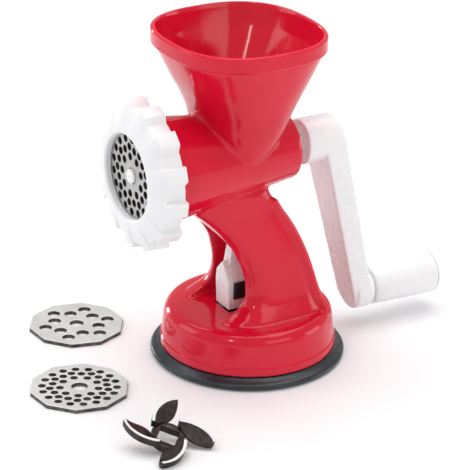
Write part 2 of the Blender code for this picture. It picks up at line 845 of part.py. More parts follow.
def make_crank():
    arm = arm_shape("crank_arm", 0.0, 0.0, 0.0, BARREL_Z, HANDLE_Z, "white")
    hub = lathe(
        "crank_hub",
        [
            (0.0, HUB_BACK),
            (HUB_R - 2.0, HUB_BACK),
            (HUB_R, HUB_BACK - 2.0),
            (HUB_R, HUB_FRONT),
            (0.0, HUB_FRONT),
        ],
    )
    boolean(arm, along_y(hub), "UNION")
    boss_start = ARM_END_FACE - ARM_BOSS_DEPTH
    end_boss = rod("arm_end_boss", ARM_BOSS_R, boss_start, ARM_BOSS_DEPTH, segments=36)
    boolean(arm, along_y(end_boss, z=HANDLE_Z), "UNION")
    beyond = block("arm_end_trim", (-20.0, ARM_END_FACE, 0.0), (20.0, ARM_END_FACE + 20.0, 50.0))
    boolean(arm, beyond, "DIFFERENCE")
    inset, from_top, from_bottom = ARM_CHANNEL
    channel_ends = (BARREL_Z - from_top, HANDLE_Z + from_bottom)
    boolean(arm, arm_shape("arm_channel", inset, -8.0, -3.4, *channel_ends), "DIFFERENCE")
    half = DRIVE_SQUARE / 2.0 + 0.15
    socket = block("drive_socket", (-half, 30.0, BARREL_Z - half), (half, TAIL_END + 0.6, BARREL_Z + half))
    boolean(arm, socket, "DIFFERENCE")
    head_r, head_low, _ = SCREW_HEAD
    boolean(arm, along_y(rod("screw_way", 3.0, 45.0, 25.0, segments=20)), "DIFFERENCE")
    screw_seat = rod("screw_seat", head_r + 0.8, head_low - GAP, 14.0, segments=32)
    boolean(arm, along_y(screw_seat), "DIFFERENCE")
    axle_hole = along_y(rod("axle_hole", AXLE_R + 0.1, 80.0, 20.0, segments=24), z=HANDLE_Z)
    boolean(arm, axle_hole, "DIFFERENCE")
    return apply_all(arm, "white")


def make_crank_screw():
    head_r, head_low, head_high = SCREW_HEAD
    shank_r, shank_end = SCREW_SHANK
    profile = [
        (0.0, head_high),
        (head_r - 1.6, head_high),
        (head_r, head_high - 1.2),
        (head_r, head_low),
        (shank_r, head_low),
        (shank_r, shank_end),
        (0.0, shank_end),
    ]
    screw = along_y(lathe("crank_screw", profile, "steel", steps=32))
    slot = block("screw_slot", (-9.0, head_high - 1.1, BARREL_Z - 0.8), (9.0, 62.0, BARREL_Z + 0.8))
    boolean(screw, slot, "DIFFERENCE")
    return apply_all(screw, "steel")


def make_handle():
    head_r, head_low, head_high = AXLE_HEAD
    seat = head_low - GAP
    profile = [(0.0, head_high), (head_r, head_high), (head_r, head_low)]
    profile += [(AXLE_R, head_low), (AXLE_R, AXLE_START), (0.0, AXLE_START)]
    axle = lathe("handle_axle", profile, "steel", steps=28)
    apply_all(along_y(axle, z=HANDLE_Z), "steel")
    washer = lathe(
        "handle_washer",
        [
            (AXLE_R + GAP, GRIP_START - GAP),
            (HANDLE_WASHER_R, GRIP_START - GAP),
            (HANDLE_WASHER_R, ARM_END_FACE + GAP),
            (AXLE_R + GAP, ARM_END_FACE + GAP),
        ],
        "white",
        steps=36,
    )
    apply_all(along_y(washer, z=HANDLE_Z), "white")
    grip = lathe(
        "handle_grip",
        [
            (CAP_PLUG_R + GAP, GRIP_END - 5.0),
            (GRIP_END_R - 0.6, GRIP_END - 5.0),
            (GRIP_END_R, GRIP_END - 8.0),
            (GRIP_R + 0.5, GRIP_START + 14.0),
            (GRIP_R, GRIP_START + 1.2),
            (GRIP_R - 1.0, GRIP_START),
            (AXLE_R + GAP, GRIP_START),
            (AXLE_R + GAP, seat),
            (CAP_PLUG_R + GAP, seat),
        ],
        "white",
        steps=40,
    )
    apply_all(along_y(grip, z=HANDLE_Z), "white")
    cap = lathe(
        "handle_cap",
        [
            (0.0, GRIP_END),
            (9.5, GRIP_END - 0.4),
            (12.6, GRIP_END - 2.0),
            (GRIP_END_R - 0.7, GRIP_END - 4.7),
            (CAP_PLUG_R, GRIP_END - 4.7),
            (CAP_PLUG_R, CAP_BACK),
            (0.0, CAP_BACK),
        ],
        "white",
        steps=40,
    )
    apply_all(along_y(cap, z=HANDLE_Z), "white")


make_housing()
make_suction_cup()
make_stem()
make_lever()
make_lever_pin()
make_pin_clip()
make_nut()
make_plates()
make_knives()
make_auger()
make_washer()
make_crank()
make_crank_screw()
make_handle()
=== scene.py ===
import json
import math

import bmesh
import bpy
from mathutils import Matrix, Vector


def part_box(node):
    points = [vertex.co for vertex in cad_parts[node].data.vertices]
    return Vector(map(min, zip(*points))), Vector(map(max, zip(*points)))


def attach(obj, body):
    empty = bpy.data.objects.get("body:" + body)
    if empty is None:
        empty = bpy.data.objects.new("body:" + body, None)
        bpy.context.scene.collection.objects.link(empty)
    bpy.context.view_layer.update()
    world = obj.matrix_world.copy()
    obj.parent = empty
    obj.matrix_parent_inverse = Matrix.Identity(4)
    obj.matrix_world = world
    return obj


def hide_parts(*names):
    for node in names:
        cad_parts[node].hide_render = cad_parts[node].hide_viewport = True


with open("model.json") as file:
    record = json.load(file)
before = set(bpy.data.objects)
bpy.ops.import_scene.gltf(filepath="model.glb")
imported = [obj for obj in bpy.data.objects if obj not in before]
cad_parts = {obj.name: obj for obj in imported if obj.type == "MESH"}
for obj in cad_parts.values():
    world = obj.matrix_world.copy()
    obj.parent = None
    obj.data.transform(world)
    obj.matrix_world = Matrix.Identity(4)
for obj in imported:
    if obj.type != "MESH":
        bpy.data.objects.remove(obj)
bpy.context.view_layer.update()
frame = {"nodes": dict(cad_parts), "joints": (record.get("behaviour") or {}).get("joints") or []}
mm = 0.001

jointAt = {joint["name"]: Vector(joint["pos_m"]) for joint in frame["joints"] if "pos_m" in joint}
barrelZ = jointAt["crank_turn"].z / mm
handleZ = jointAt["grip_turn"].z / mm
pivot = jointAt["lever_fold"] / mm


# ---- small tools for meshes


def finishMesh(bm, name, material, sharp=30.0):
    # every finished piece sits at the origin with its place in its mesh
    mesh = bpy.data.meshes.new(name)
    bm.to_mesh(mesh)
    bm.free()
    piece = bpy.data.objects.new(name, mesh)
    bpy.context.scene.collection.objects.link(piece)
    if material is not None:
        mesh.materials.append(material)
    mesh.shade_smooth()
    mesh.set_sharp_from_angle(angle=math.radians(sharp))
    return piece


def bakeDown(piece, sharp=30.0):
    # applies the piece's modifiers and keeps the piece
    bpy.context.view_layer.update()
    graph = bpy.context.evaluated_depsgraph_get()
    mesh = bpy.data.meshes.new_from_object(piece.evaluated_get(graph))
    mesh.transform(piece.matrix_world)
    old = piece.data
    piece.modifiers.clear()
    piece.data = mesh
    piece.matrix_world = Matrix.Identity(4)
    bpy.data.meshes.remove(old)
    mesh.name = piece.name
    mesh.shade_smooth()
    mesh.set_sharp_from_angle(angle=math.radians(sharp))
    return piece


def cleanUp(bm):
    bmesh.ops.remove_doubles(bm, verts=bm.verts, dist=0.000004)
    bmesh.ops.recalc_face_normals(bm, faces=bm.faces)
    return bm


def turned(profile, steps=96):
    # spins (radius, height) pairs about Z into a closed solid, in millimetres
    bm = bmesh.new()
    corners = [bm.verts.new((radius * mm, 0.0, height * mm)) for radius, height in profile]
    edges = [bm.edges.new(pair) for pair in zip(corners, corners[1:])]
    if profile[0][0] > 0.0 or profile[-1][0] > 0.0:
        edges.append(bm.edges.new((corners[-1], corners[0])))
    bmesh.ops.spin(bm, geom=corners + edges, cent=(0, 0, 0), axis=(0, 0, 1), dvec=(0, 0, 0),
                   angle=math.tau, steps=steps, use_merge=True, use_duplicate=False)
    return cleanUp(bm)


def tube(levels, count, place):
    # an open ring of edges extruded level by level, capped, then put in place by a rule
    bm = bmesh.new()
    bmesh.ops.create_circle(bm, cap_ends=False, radius=1.0, segments=count)
    edges = bm.edges[:]
    for level in range(1, levels):
        grown = bmesh.ops.extrude_edge_only(bm, edges=edges)["geom"]
        corners = [part for part in grown if isinstance(part, bmesh.types.BMVert)]
        bmesh.ops.translate(bm, vec=(0, 0, 1), verts=corners)
        ring = set(corners)
        edges = [part for part in grown if isinstance(part, bmesh.types.BMEdge)
                 and part.verts[0] in ring and part.verts[1] in ring]
    bmesh.ops.holes_fill(bm, edges=[edge for edge in bm.edges if edge.is_boundary], sides=0)
    for corner in bm.verts:
        angle = math.atan2(corner.co.y, corner.co.x)
        corner.co = Vector(place(angle, int(round(corner.co.z)))) * mm
    bmesh.ops.recalc_face_normals(bm, faces=bm.faces)
    return bm


def box(low, high):
    bm = bmesh.new()
    bmesh.ops.create_cube(bm, size=1.0)
    low, high = Vector(low) * mm, Vector(high) * mm
    bmesh.ops.scale(bm, vec=high - low, verts=bm.verts)
    bmesh.ops.translate(bm, vec=(low + high) / 2, verts=bm.verts)
    return bm


def rod(radius, low, high, segments=64, endRadius=None):
    bm = bmesh.new()
    bmesh.ops.create_cone(bm, cap_ends=True, segments=segments, radius1=radius * mm,
                          radius2=(radius if endRadius is None else endRadius) * mm,
                          depth=(high - low) * mm)
    bmesh.ops.translate(bm, vec=(0, 0, (low + high) / 2 * mm), verts=bm.verts)
    return bm


def layAlongY(bm, y=0.0, z=None):
    # a shape made along +Z comes to lie along +Y, on the barrel's axis unless told
    turn = Matrix.Rotation(math.radians(-90), 4, "X")
    move = Matrix.Translation(Vector((0, y, barrelZ if z is None else z)) * mm)
    bmesh.ops.transform(bm, matrix=move @ turn, verts=bm.verts)
    return bm


def layAlongX(bm):
    turn = Matrix.Rotation(math.radians(90), 4, "Y")
    bmesh.ops.transform(bm, matrix=Matrix.Translation(pivot * mm) @ turn, verts=bm.verts)
    return bm


def joined(*shapes):
    # several shapes in one mesh, which a remesh makes into one skin
    bm = bmesh.new()
    for shape in shapes:
        part = bpy.data.meshes.new("part")
        shape.to_mesh(part)
        shape.free()
        bm.from_mesh(part)
        bpy.data.meshes.remove(part)
    return bm


def combine(piece, shape, operation="DIFFERENCE", solver="MANIFOLD", sharp=30.0):
    # joins or cuts a piece with another shape at once
    other = finishMesh(shape, "other", None)
    step = piece.modifiers.new(operation, "BOOLEAN")
    step.operation = operation
    step.object = other
    step.solver = solver
    bakeDown(piece, sharp)
    bpy.data.objects.remove(other, do_unlink=True)
    return piece


def softSkin(piece, voxel, rounds, factor=0.5, sharp=30.0):
    # an even skin over the shapes inside, with its corners smoothed away
    skin = piece.modifiers.new("Skin", "REMESH")
    skin.mode = "VOXEL"
    skin.voxel_size = voxel * mm
    soften = piece.modifiers.new("Soften", "SMOOTH")
    soften.factor = factor
    soften.iterations = rounds
    return bakeDown(piece, sharp)


def roundEdges(piece, width, segments=3, angle=32.0):
    bevel = piece.modifiers.new("Edges", "BEVEL")
    bevel.width = width * mm
    bevel.segments = segments
    bevel.limit_method = "ANGLE"
    bevel.angle_limit = math.radians(angle)
    bevel.harden_normals = False
    return bakeDown(piece)


def between(table, z):
    # smooth values from a table of (height, values...) rows
    rows = sorted(table)
    z = min(max(z, rows[0][0]), rows[-1][0])
    i = max(k for k in range(len(rows) - 1) if rows[k][0] <= z)
    a, b = rows[i], rows[i + 1]
    before, after = rows[max(i - 1, 0)], rows[min(i + 2, len(rows) - 1)]
    span = b[0] - a[0]
    t = (z - a[0]) / span
    values = []
    for k in range(1, len(a)):
        slopeA = (b[k] - before[k]) / (b[0] - before[0]) * span
        slopeB = (after[k] - a[k]) / (after[0] - a[0]) * span
        values.append((2 * t ** 3 - 3 * t ** 2 + 1) * a[k] + (t ** 3 - 2 * t ** 2 + t) * slopeA
                      + (3 * t ** 2 - 2 * t ** 3) * b[k] + (t ** 3 - t ** 2) * slopeB)
    return values


def squarish(angle, halfX, front, rear, power):
    c, s = math.cos(angle), math.sin(angle)
    x = halfX * math.copysign(abs(c) ** (2 / power), c)
    y = (rear - front) / 2 * math.copysign(abs(s) ** (2 / power), s)
    return x, (front + rear) / 2 + y


# ---- materials


def newMaterial(name, colour, roughness, metallic=0.0):
    material = bpy.data.materials.new(name)
    material.use_nodes = True
    tree = material.node_tree
    shader = tree.nodes["Principled BSDF"]
    shader.inputs["Base Color"].default_value = (*colour, 1)
    shader.inputs["Roughness"].default_value = roughness
    shader.inputs["Metallic"].default_value = metallic
    material.diffuse_color = (*colour, 1)
    return material, tree, shader


def noiseOver(tree, scale, detail=3.0, stretch=(1, 1, 1), roughness=0.5):
    place = tree.nodes.new("ShaderNodeTexCoord")
    mapping = tree.nodes.new("ShaderNodeMapping")
    mapping.inputs["Scale"].default_value = stretch
    noise = tree.nodes.new("ShaderNodeTexNoise")
    noise.inputs["Scale"].default_value = scale
    noise.inputs["Detail"].default_value = detail
    noise.inputs["Roughness"].default_value = roughness
    tree.links.new(place.outputs["Object"], mapping.inputs["Vector"])
    tree.links.new(mapping.outputs["Vector"], noise.inputs["Vector"])
    return noise.outputs["Fac"]


def spread(tree, value, low, high, fromLow=0.3, fromHigh=0.7):
    ramp = tree.nodes.new("ShaderNodeMapRange")
    ramp.inputs["From Min"].default_value = fromLow
    ramp.inputs["From Max"].default_value = fromHigh
    ramp.inputs["To Min"].default_value = low
    ramp.inputs["To Max"].default_value = high
    tree.links.new(value, ramp.inputs["Value"])
    return ramp.outputs["Result"]


def tint(tree, shader, value, dark, light):
    mix = tree.nodes.new("ShaderNodeMix")
    mix.data_type = "RGBA"
    mix.inputs["A"].default_value = (*dark, 1)
    mix.inputs["B"].default_value = (*light, 1)
    tree.links.new(value, mix.inputs["Factor"])
    tree.links.new(mix.outputs["Result"], shader.inputs["Base Color"])


def bumpFrom(tree, shader, layers):
    # stacks bump layers of (height, strength, depth in millimetres)
    last = None
    for value, strength, depth in layers:
        bump = tree.nodes.new("ShaderNodeBump")
        bump.inputs["Strength"].default_value = strength
        bump.inputs["Distance"].default_value = depth * mm
        tree.links.new(value, bump.inputs["Height"])
        if last is not None:
            tree.links.new(last, bump.inputs["Normal"])
        last = bump.outputs["Normal"]
    tree.links.new(last, shader.inputs["Normal"])


plasticLooks = {
    "redDark": (0.63, 0.004, 0.024),
    "redLight": (0.71, 0.006, 0.034),
    "whiteDark": (0.850, 0.850, 0.860),
    "whiteLight": (0.865, 0.865, 0.875),
    "sinkDepth": 0.06,   # slow waviness left by moulding
    "grainDepth": 0.004,
}


def makeRedPlastic():
    material, tree, shader = newMaterial("redPlastic", plasticLooks["redLight"], 0.12)
    cloud = noiseOver(tree, 26.0, 2.0)
    tint(tree, shader, spread(tree, cloud, 0.0, 1.0), plasticLooks["redDark"], plasticLooks["redLight"])
    wear = noiseOver(tree, 160.0, 4.0)
    tree.links.new(spread(tree, wear, 0.085, 0.15), shader.inputs["Roughness"])
    bumpFrom(tree, shader, [
        (noiseOver(tree, 34.0, 1.0), 0.35, plasticLooks["sinkDepth"]),
        (noiseOver(tree, 1400.0, 2.0), 0.25, plasticLooks["grainDepth"]),
    ])
    shader.inputs["IOR"].default_value = 1.5
    shader.inputs["Specular IOR Level"].default_value = 0.4
    shader.inputs["Subsurface Weight"].default_value = 0.04
    shader.inputs["Subsurface Radius"].default_value = (0.003, 0.0006, 0.0006)
    shader.inputs["Subsurface Scale"].default_value = 0.8
    return material


def makeWhitePlastic(name, roughLow, roughHigh):
    material, tree, shader = newMaterial(name, plasticLooks["whiteLight"], roughLow)
    cloud = noiseOver(tree, 30.0, 3.0)
    tint(tree, shader, spread(tree, cloud, 0.0, 1.0), plasticLooks["whiteDark"], plasticLooks["whiteLight"])
    wear = noiseOver(tree, 240.0, 4.0)
    tree.links.new(spread(tree, wear, roughLow, roughHigh), shader.inputs["Roughness"])
    bumpFrom(tree, shader, [
        (noiseOver(tree, 40.0, 1.0), 0.12, 0.02),
        (noiseOver(tree, 1800.0, 2.0), 0.08, 0.002),
    ])
    shader.inputs["Subsurface Weight"].default_value = 0.12
    shader.inputs["Subsurface Radius"].default_value = (0.002, 0.002, 0.0018)
    shader.inputs["Subsurface Scale"].default_value = 1.0
    return material


def makeRubber():
    material, tree, shader = newMaterial("blackRubber", (0.014, 0.019, 0.026), 0.3)
    dust = noiseOver(tree, 90.0, 5.0)
    tint(tree, shader, spread(tree, dust, 0.0, 1.0), (0.011, 0.016, 0.023), (0.019, 0.026, 0.034))
    tree.links.new(spread(tree, noiseOver(tree, 300.0, 4.0), 0.24, 0.36), shader.inputs["Roughness"])
    bumpFrom(tree, shader, [(noiseOver(tree, 1500.0, 2.0), 0.4, 0.006)])
    return material


def makePlateSteel(name, shadeTone=1.0):
    # a shade tone below 1 darkens the whole colour as painted shade
    light = [shadeTone * value for value in (0.88, 0.875, 0.86)]
    dark = [shadeTone * value for value in (0.78, 0.775, 0.76)]
    material, tree, shader = newMaterial(name, light, 0.42, 1.0)
    lines = noiseOver(tree, 120.0, 4.0, (1.0, 26.0, 1.0), 0.6)
    blotch = noiseOver(tree, 70.0, 3.0)
    tint(tree, shader, spread(tree, blotch, 0.0, 1.0), dark, light)
    tree.links.new(spread(tree, lines, 0.40, 0.55), shader.inputs["Roughness"])
    bumpFrom(tree, shader, [(lines, 0.35, 0.02), (noiseOver(tree, 900.0, 3.0), 0.3, 0.01)])
    return material


def makePaintedShadeSteel():
    # rolled sides and drilled walls, which are never ground; the colour is also painted shade, made very
    # dark to stand for the shade inside the holes
    material, tree, shader = newMaterial("paintedShadeSteel", (0.10, 0.095, 0.09), 0.5, 0.8)
    blotch = noiseOver(tree, 260.0, 4.0)
    tint(tree, shader, spread(tree, blotch, 0.0, 1.0), (0.045, 0.042, 0.04), (0.17, 0.16, 0.155))
    tree.links.new(spread(tree, noiseOver(tree, 500.0, 4.0), 0.4, 0.62), shader.inputs["Roughness"])
    bumpFrom(tree, shader, [(noiseOver(tree, 800.0, 4.0), 0.4, 0.02)])
    return material


def makeCastSteel():
    material, tree, shader = newMaterial("castSteel", (0.05, 0.038, 0.038), 0.42, 0.85)
    blotch = noiseOver(tree, 220.0, 5.0, roughness=0.65)
    tint(tree, shader, spread(tree, blotch, 0.0, 1.0), (0.030, 0.022, 0.023), (0.085, 0.066, 0.064))
    tree.links.new(spread(tree, noiseOver(tree, 400.0, 4.0), 0.34, 0.55), shader.inputs["Roughness"])
    bumpFrom(tree, shader, [(noiseOver(tree, 650.0, 5.0), 0.5, 0.05)])
    return material


def makeGroundSteel():
    material, tree, shader = newMaterial("groundSteel", (0.72, 0.70, 0.68), 0.3, 1.0)
    lines = noiseOver(tree, 300.0, 3.0, (1.0, 14.0, 1.0), 0.6)
    tint(tree, shader, spread(tree, lines, 0.0, 1.0), (0.60, 0.58, 0.56), (0.80, 0.79, 0.77))
    tree.links.new(spread(tree, lines, 0.24, 0.42), shader.inputs["Roughness"])
    bumpFrom(tree, shader, [(lines, 0.4, 0.01)])
    return material


def makeBlackPlastic():
    material, tree, shader = newMaterial("blackPlastic", (0.012, 0.015, 0.02), 0.35)
    cloud = spread(tree, noiseOver(tree, 200.0), 0.0, 1.0)
    tint(tree, shader, cloud, (0.009, 0.012, 0.017), (0.02, 0.024, 0.03))
    tree.links.new(spread(tree, noiseOver(tree, 500.0), 0.28, 0.42), shader.inputs["Roughness"])
    bumpFrom(tree, shader, [(noiseOver(tree, 1600.0), 0.4, 0.006)])
    return material


redPlastic = makeRedPlastic()
nutPlastic = makeWhitePlastic("nutPlastic", 0.38, 0.46)
crankPlastic = makeWhitePlastic("crankPlastic", 0.24, 0.29)
blackRubber = makeRubber()
plateSteel = makePlateSteel("plateSteel")
fittedSteelPaintedShade = makePlateSteel("fittedSteelPaintedShade", 0.6)  # painted shade: a darker copy of the plate steel for the fitted plate, which faces a bright side
paintedShadeSteel = makePaintedShadeSteel()
castSteel = makeCastSteel()
groundSteel = makeGroundSteel()
blackPlastic = makeBlackPlastic()
print("materials ready")


def settle(piece, body, slot, *nodes):
    # the piece stands for its CAD nodes and moves with their body
    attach(piece, body)
    if nodes:
        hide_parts(*nodes)
    return piece


# ---- the red moulding

housingBox = [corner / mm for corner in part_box("housing")]
housing = {
    "barrelFront": -85.0,
    "collarBack": -71.6,
    "collarRadius": 38.4,
    "rear": 25.0,
    "frontRadius": 36.5,
    "rearRadius": 21.4,
    "boreFront": 29.4,
    "boreTaper": -62.0,
    "boreRear": 18.4,
    "rearWall": 3.5,
    "bearing": 9.3,
    "hopperTop": housingBox[1].z,
    "hopperCentre": -10.8,
    "bandHalf": (53.4, 50.7),
    "bandHeight": 9.5,
    "wall": 2.6,
    "roundness": 2.5,
    "skirtBottom": housingBox[0].z,
    "deck": 34.4,
    "bead": 3.3,
    "voxel": 1.05,
    "softening": 9,
}
# height, half width, front and rear edge
hopperShape = (
    (143.4, 28.0, -26.0, -2.0), (150.0, 31.0, -32.6, 7.6), (160.0, 34.5, -36.8, 14.0),
    (170.0, 37.4, -39.4, 18.0), (180.0, 40.6, -43.8, 22.8), (190.0, 44.3, -49.2, 28.0),
    (200.0, 47.8, -54.2, 33.0), (212.0, 52.0, -60.0, 38.6),
)
legShape = (
    (26, 41, -39, 43), (30, 40, -37, 42), (36, 37.4, -31, 40.5), (40, 35.3, -24, 38.5),
    (44, 33.5, -19, 36.5), (50, 32, -16.2, 34.5), (60, 30, -16.0, 32), (70, 28.5, -18.3, 29),
    (80, 26.5, -22.0, 25.5), (90, 24.5, -29, 21), (98, 23, -36.5, 16.5), (104, 22, -43, 12.5),
    (110, 21.5, -50, 9), (118, 21, -56, 5),
)
# height and half width of the arch between the legs
archShape = ((34.5, 21.5), (40, 20.6), (50, 20), (58, 19.2), (66, 18), (73, 16.3), (80, 14),
             (86, 11.2), (91, 8), (95, 4.6), (97.5, 1.2))


def loftOf(shape, power, inset=0.0, count=128, step=1.6, low=None, high=None, extra=()):
    low = min(row[0] for row in shape) if low is None else low
    high = max(row[0] for row in shape) if high is None else high
    levels = int((high - low) / step) + 1
    heights = [low + (high - low) * k / (levels - 1) for k in range(levels)]

    def place(angle, level):
        if level < levels:
            halfX, front, rear = between(shape, heights[level])
            x, y = squarish(angle, halfX - inset, front + inset, rear - inset, power)
            return x, y, heights[level]
        halfX, front, rear, z = extra[level - levels]
        x, y = squarish(angle, halfX, front, rear, power)
        return x, y, z

    return tube(levels + len(extra), count, place)


def bandRing(inset, z):
    halfX, halfY = housing["bandHalf"]
    centre = housing["hopperCentre"]
    return halfX - inset, centre - halfY + inset, centre + halfY - inset, z


def archBlock(grow=0.0, length=80.0, bottom=None):
    # the passage between the legs, with one section all along it
    bm = bmesh.new()
    side = [(half + grow, z + grow * 0.7) for z, half in archShape]
    if bottom is not None:
        side[0] = (side[0][0], bottom)
    outline = [(-x, z) for x, z in side] + [(x, z) for x, z in reversed(side)]
    corners = [bm.verts.new((x * mm, -length * mm, z * mm)) for x, z in outline]
    face = bmesh.ops.contextual_create(bm, geom=corners)["faces"]
    grown = bmesh.ops.extrude_face_region(bm, geom=face)["geom"]
    moved = [part for part in grown if isinstance(part, bmesh.types.BMVert)]
    bmesh.ops.translate(bm, vec=(0, 2 * length * mm, 0), verts=moved)
    bmesh.ops.recalc_face_normals(bm, faces=bm.faces)
    return bm


def barrelRadius(y):
    share = (y - housing["barrelFront"]) / (housing["rear"] - housing["barrelFront"])
    return housing["frontRadius"] + (housing["rearRadius"] - housing["frontRadius"]) * share


def legBead(side):
    # the rolled rim down the rear edge of each leg
    low, high, radius = 33.0, 112.0, housing["bead"]
    levels = 50

    def place(angle, level):
        z = low + (high - low) * level / (levels - 1)
        halfX, front, rear = between(legShape, z)
        x, y = halfX - 2.6, rear - 3.4
        return side * x + radius * math.cos(angle), y + radius * math.sin(angle), z

    return tube(levels, 24, place)


def makeHousing():
    top, deck, bottom = housing["hopperTop"], housing["deck"], housing["skirtBottom"]
    collar, back = housing["collarRadius"], housing["collarBack"]
    legs = finishMesh(loftOf(legShape, 4.6), "housing", redPlastic)
    combine(legs, archBlock(bottom=deck - 6.0), "DIFFERENCE", "EXACT")

    barrel = layAlongY(turned([
        (0, housing["rear"] - 1.0), (housing["rearRadius"], housing["rear"] - 1.0),
        (barrelRadius(back), back), (collar, back - 0.4), (collar, housing["barrelFront"] + 0.8),
        (0, housing["barrelFront"] + 0.8)], 128))
    funnel = loftOf(hopperShape, housing["roundness"])
    foot = turned([(0, deck), (47.5, deck), (51.0, deck - 0.9), (53.6, deck - 3.4), (54.7, deck - 7.0),
                   (55.6, 18.0), (56.2, bottom + 1.0), (0, bottom + 1.0)], 160)
    whole = joined(barrel, funnel, foot, legBead(1), legBead(-1))
    whole.from_mesh(legs.data)
    whole.to_mesh(legs.data)
    whole.free()
    softSkin(legs, housing["voxel"], housing["softening"])

    step = housing["bandHeight"]
    band = tube(5, 160, lambda angle, level: (
        *squarish(angle, *bandRing((0.5, 0.0, 0.0, 0.5, 1.2)[level], 0)[:3], housing["roundness"]),
        (top - step, top - step + 0.7, top - 0.9, top - 0.25, top)[level]))
    combine(legs, band, "UNION")
    skirt = turned([(0, bottom + 5.6), (56.0, bottom + 5.6), (56.75, bottom + 4.9), (56.85, bottom + 0.6),
                    (56.5, bottom), (0, bottom)], 200)
    combine(legs, skirt, "UNION")
    rim = layAlongY(turned([(0, housing["rear"]), (housing["rearRadius"] - 1.0, housing["rear"]),
                            (housing["rearRadius"] - 0.2, housing["rear"] - 0.35),
                            (housing["rearRadius"] + 0.15, housing["rear"] - 1.1),
                            (housing["rearRadius"] + 0.45, housing["rear"] - 4.0),
                            (0, housing["rear"] - 4.0)], 128))
    combine(legs, rim, "UNION")

    wall = housing["wall"]
    inside = loftOf(hopperShape, housing["roundness"], inset=wall, low=150.0, high=208.0,
                    extra=(bandRing(wall + 0.7, top - 3.0), bandRing(wall + 0.3, top - 0.6),
                           bandRing(wall - 0.3, top + 0.6)))
    combine(legs, inside)
    wallY = housing["rear"] - housing["rearWall"]
    combine(legs, layAlongY(turned([
        (0, wallY), (housing["boreRear"], wallY), (housing["boreFront"], housing["boreTaper"]),
        (housing["boreFront"], housing["barrelFront"] - 1), (0, housing["barrelFront"] - 1)], 128)))
    combine(legs, layAlongY(rod(31.8, -82.5 - 8.0, -82.5, 96)))
    combine(legs, layAlongY(rod(housing["bearing"], wallY - 2.0, housing["rear"] + 2.0, 64)))
    combine(legs, turned([
        (0, deck - 3.0), (45.0, deck - 3.0), (50.8, 26.5), (53.7, bottom - 1.0), (0, bottom - 1.0)], 160))
    core = finishMesh(loftOf(legShape, 4.6, inset=2.6, low=28.0, high=80.0, count=96), "core", None)
    combine(core, archBlock(grow=2.6, bottom=10.0), "DIFFERENCE", "EXACT")
    hollow = bmesh.new()
    hollow.from_mesh(core.data)
    bpy.data.objects.remove(core, do_unlink=True)
    combine(legs, hollow)
    combine(legs, box((-10.0, -20.2, 20.0), (10.0, 9.0, deck + 3.0)))
    legs.name = "redHousing"
    print("housing", len(legs.data.polygons), "faces")
    return settle(legs, "base", "red_plastic", "housing")


makeHousing()


# ---- the rubber foot

cup = {"radius": 63.0, "shelf": 7.0}


def makeCup():
    radius = cup["radius"]
    bead = [(radius - 2.4 + 2.4 * math.cos(a), 2.6 + 2.0 * math.sin(a))
            for a in (math.radians(k * 22.5) for k in range(3, -5, -1))]
    profile = [(0.0, 20.0), (15.0, 20.0), (16.0, 19.0), (16.0, 8.4), (30.0, cup["shelf"]),
               (56.9, cup["shelf"]), (57.6, 6.7), (59.2, 5.3), (59.9, 5.15)]
    profile += bead
    profile += [(59.5, 0.0), (54.5, 0.0), (50.0, 2.2), (20.0, 2.2), (16.5, 0.0), (0.0, 0.0)]
    piece = finishMesh(turned(profile, 160), "rubberFoot", blackRubber)
    combine(piece, rod(13.0, 7.6, 17.4, 64))
    combine(piece, rod(5.6, 15.0, 23.0, 48))
    return settle(piece, "base", "black_rubber", "suction_cup")


makeCup()
print("foot done")


# ---- ring nut

nutBox = [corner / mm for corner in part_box("ring_nut")]
nut = {
    "front": nutBox[0].y,
    "back": nutBox[1].y,
    "lugs": 13,
    "firstLug": 107.7,
    "crest": 47.8,
    "root": 43.3,
    "shoulder": -85.4,
    "lip": 30.2,
    "opening": 27.0,
    "bore": 38.9,
}
# angle below each lug's steep side and how high the lug stands there, from 0 to 1
lugProfile = ((0.0, 0.0), (-0.5, 1.0), (-4.0, 1.0), (-8.0, 1.0), (-12.0, 1.0), (-15.8, 0.0), (-19.8, 0.0),
              (-23.8, 0.0))


def makeNut():
    pitch = 360 / nut["lugs"]
    count = nut["lugs"] * len(lugProfile)
    # rings from the back over the lugs and the cone into the opening and out of the bore
    rings = (
        (nut["back"], nut["root"], nut["crest"]),
        (nut["shoulder"], nut["root"], nut["crest"] - 0.7),
        (nut["front"] + 0.9, nut["lip"] + 3.4, nut["lip"] + 5.2),
        (nut["front"], nut["lip"], nut["lip"] + 0.6),
        (nut["front"], nut["opening"] + 1.1, nut["opening"] + 1.1),
        (nut["front"] + 1.0, nut["opening"] + 0.2, nut["opening"] + 0.2),
        (nut["front"] + 4.1, nut["opening"] - 0.2, nut["opening"] - 0.2),
        (nut["front"] + 4.1, nut["bore"], nut["bore"]),
        (nut["back"], nut["bore"], nut["bore"]),
    )

    def place(angle, level):
        index = int(round(angle / math.tau * count)) % count
        lug, corner = divmod(index, len(lugProfile))
        turn, height = lugProfile[len(lugProfile) - 1 - corner]
        y, low, high = rings[level]
        radius = low + (high - low) * height
        a = math.radians(nut["firstLug"] + pitch * lug + turn)
        return radius * math.cos(a), y, barrelZ + radius * math.sin(a)

    bm = tube(len(rings), count, place)
    ends = [face for face in bm.faces if len(face.verts) > 4]
    edges = [edge for face in ends for edge in face.edges]
    bmesh.ops.delete(bm, geom=ends, context="FACES_ONLY")
    bmesh.ops.bridge_loops(bm, edges=edges)
    bmesh.ops.recalc_face_normals(bm, faces=bm.faces)
    piece = finishMesh(bm, "ringNut", nutPlastic)
    roundEdges(piece, 0.55, 3, 20.0)
    return settle(piece, "nut", "white_plastic", "ring_nut")


makeNut()
print("nut done")


# ---- cutting plates

plate = {"flats": 60.0, "thick": 2.6, "sides": 10, "edge": 0.22}
